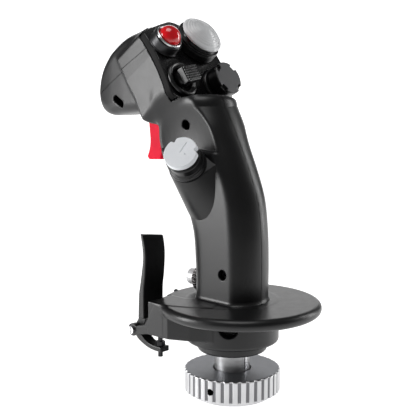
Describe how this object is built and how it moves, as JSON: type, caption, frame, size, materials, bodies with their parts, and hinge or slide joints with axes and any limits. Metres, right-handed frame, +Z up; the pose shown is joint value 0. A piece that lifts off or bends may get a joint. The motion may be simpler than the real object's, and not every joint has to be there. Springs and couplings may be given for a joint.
{
  "type": "flight joystick",
  "caption": "Flight joystick grip: beaked head with hat switches and buttons, thumb wheel, trigger, hand rest, pinch lever and a post with a knurled coupling ring.",
  "frame": {"origin": "on the post's axis at its lower end, level with the coupling ring's bottom", "axes": "+Z up along the post, +Y forward away from the pilot, +X to the pilot's right"},
  "size_m": [0.0996, 0.1735, 0.2357],
  "materials": {
    "shell_black": "satin",
    "body_black": "satin",
    "plate_black": "fine texture, satin",
    "cap_black": "satin",
    "switch_black": "matte",
    "bright_metal": "bright",
    "dark_metal": "black oxide",
    "spring_steel": "plain",
    "aluminium": "satin machined",
    "contact_brass": "plain",
    "board_green": "solder mask",
    "loom_black": "matte",
    "pale_plastic": "satin",
    "red_plastic": "gloss",
    "white_plastic": "satin",
    "silver_plastic": "satin",
    "trigger_red": "satin",
    "washer_nylon": "matte"
  },
  "bodies": {
    "grip": {"grip_left_half": "shell_black", "grip_right_half": "shell_black", "head_cover": "shell_black", "face_plate": "plate_black", "trim_bezel": "cap_black", "trim_socket": "switch_black", "release_bush": "body_black", "release_collar": "bright_metal", "selector_ring": "cap_black", "selector_socket": "switch_black", "castle_boss": "cap_black", "castle_socket": "switch_black", "wheel_collar": "cap_black", "wheel_socket": "switch_black", "front_nut": "dark_metal", "front_bush": "dark_metal", "front_spring": "spring_steel", "trigger_pin": "spring_steel", "trigger_switch": "switch_black", "base_casting": "body_black", "clamp_screw": "dark_metal", "post_bushing": "body_black", "post": "aluminium", "post_flange": "aluminium", "post_key": "aluminium", "connector_insert": "switch_black", "connector_pins": "contact_brass", "lever_pin": "bright_metal", "lever_switch": "switch_black", "shell_screws": "dark_metal", "grip_board": "board_green", "head_board": "board_green", "wire_loom": "loom_black"},
    "trim_ring": {"trim_gimbal": "spring_steel"},
    "trim_hat": {"trim_cap": "pale_plastic"},
    "release": {"release_button": "red_plastic"},
    "selector_carrier": {"selector_gimbal": "spring_steel"},
    "selector": {"selector_cap": "cap_black"},
    "castle_ring": {"castle_gimbal": "spring_steel"},
    "castle_post": {"castle_stem": "spring_steel"},
    "castle": {"castle_cap": "cap_black"},
    "wheel_ring": {"wheel_gimbal": "spring_steel"},
    "wheel_post": {"wheel_stem": "spring_steel"},
    "wheel": {"wheel_cap": "white_plastic"},
    "front": {"front_button": "silver_plastic"},
    "trigger": {"trigger": "trigger_red"},
    "lever": {"lever": "body_black", "adjuster_screw": "dark_metal", "adjuster_nut": "dark_metal"},
    "plunger": {"switch_plunger": "spring_steel"},
    "washer": {"thrust_washer": "washer_nylon"},
    "ring": {"coupling_ring": "aluminium"}
  },
  "joints": [
    {"name": "trim_fore_aft", "type": "hinge", "parent": "grip", "child": "trim_ring", "pos_m": [0.019, 0.05889, 0.21102], "axis": [1, 0, 0], "range_deg": [-4.5, 4.5], "stiffness_Nm_per_rad": 0.06},
    {"name": "trim_side", "type": "hinge", "parent": "trim_ring", "child": "trim_hat", "pos_m": [0.019, 0.05889, 0.21102], "axis": [0, 0.6596, 0.7516], "range_deg": [-4.5, 4.5], "stiffness_Nm_per_rad": 0.06},
    {"name": "release_press", "type": "slide", "parent": "grip", "child": "release", "axis": [0, 0.7591, -0.6509], "range_m": [0, 0.0018], "stiffness_N_per_m": 100},
    {"name": "selector_fore_aft", "type": "hinge", "parent": "grip", "child": "selector_carrier", "pos_m": [-0.0074, 0.04537, 0.1909], "axis": [1, 0, 0], "range_deg": [-4.5, 4.5], "stiffness_Nm_per_rad": 0.06},
    {"name": "selector_side", "type": "hinge", "parent": "selector_carrier", "child": "selector", "pos_m": [-0.0074, 0.04537, 0.1909], "axis": [0, 0.4467, 0.8947], "range_deg": [-4.5, 4.5], "stiffness_Nm_per_rad": 0.06},
    {"name": "castle_fore_aft", "type": "hinge", "parent": "grip", "child": "castle_ring", "pos_m": [0.0226, 0.0439, 0.18782], "axis": [1, 0, 0], "range_deg": [-4.5, 4.5], "stiffness_Nm_per_rad": 0.06},
    {"name": "castle_side", "type": "hinge", "parent": "castle_ring", "child": "castle_post", "pos_m": [0.0226, 0.0439, 0.18782], "axis": [0, 0.4141, 0.9102], "range_deg": [-4.5, 4.5], "stiffness_Nm_per_rad": 0.06},
    {"name": "castle_press", "type": "slide", "parent": "castle_post", "child": "castle", "axis": [0, 0.9102, -0.4141], "range_m": [0, 0.0009], "stiffness_N_per_m": 180},
    {"name": "wheel_up_down", "type": "hinge", "parent": "grip", "child": "wheel_ring", "pos_m": [-0.01944, 0.01662, 0.14121], "axis": [0.3881, -0.9216, 0], "range_deg": [-4.5, 4.5], "stiffness_Nm_per_rad": 0.06},
    {"name": "wheel_fore_aft", "type": "hinge", "parent": "wheel_ring", "child": "wheel_post", "pos_m": [-0.01944, 0.01662, 0.14121], "axis": [0.5209, 0.2193, 0.8249], "range_deg": [-4.5, 4.5], "stiffness_Nm_per_rad": 0.06},
    {"name": "wheel_press", "type": "slide", "parent": "wheel_post", "child": "wheel", "axis": [0.7603, 0.3201, -0.5652], "range_m": [0, 0.0008], "stiffness_N_per_m": 120},
    {"name": "front_button_press", "type": "slide", "parent": "grip", "child": "front", "axis": [0, -1, 0], "range_m": [0, 0.0015], "stiffness_N_per_m": 150},
    {"name": "trigger_pull", "type": "hinge", "parent": "grip", "child": "trigger", "pos_m": [0, 0.062, 0.1775], "axis": [-1, 0, 0], "range_deg": [0, 8], "stiffness_Nm_per_rad": 0.2},
    {"name": "lever_squeeze", "type": "hinge", "parent": "grip", "child": "lever", "pos_m": [-0.032, 0.0476, 0.0401], "axis": [1, 0, 0], "range_deg": [0, 10.5], "stiffness_Nm_per_rad": 0.3},
    {"name": "plunger_travel", "type": "slide", "parent": "grip", "child": "plunger", "axis": [0, 0, -1], "range_m": [0, 0.0012]},
    {"name": "ring_lift", "type": "slide", "parent": "grip", "child": "washer", "axis": [0, 0, 1], "range_m": [0, 0.0114]},
    {"name": "ring_turn", "type": "hinge", "parent": "washer", "child": "ring", "pos_m": [0, 0, 0.0085], "axis": [0, 0, 1], "continuous": true}
  ],
  "couplings": [
    {"joint": "plunger_travel", "follows": "lever_squeeze", "m_per_rad": 0.0062}
  ]
}
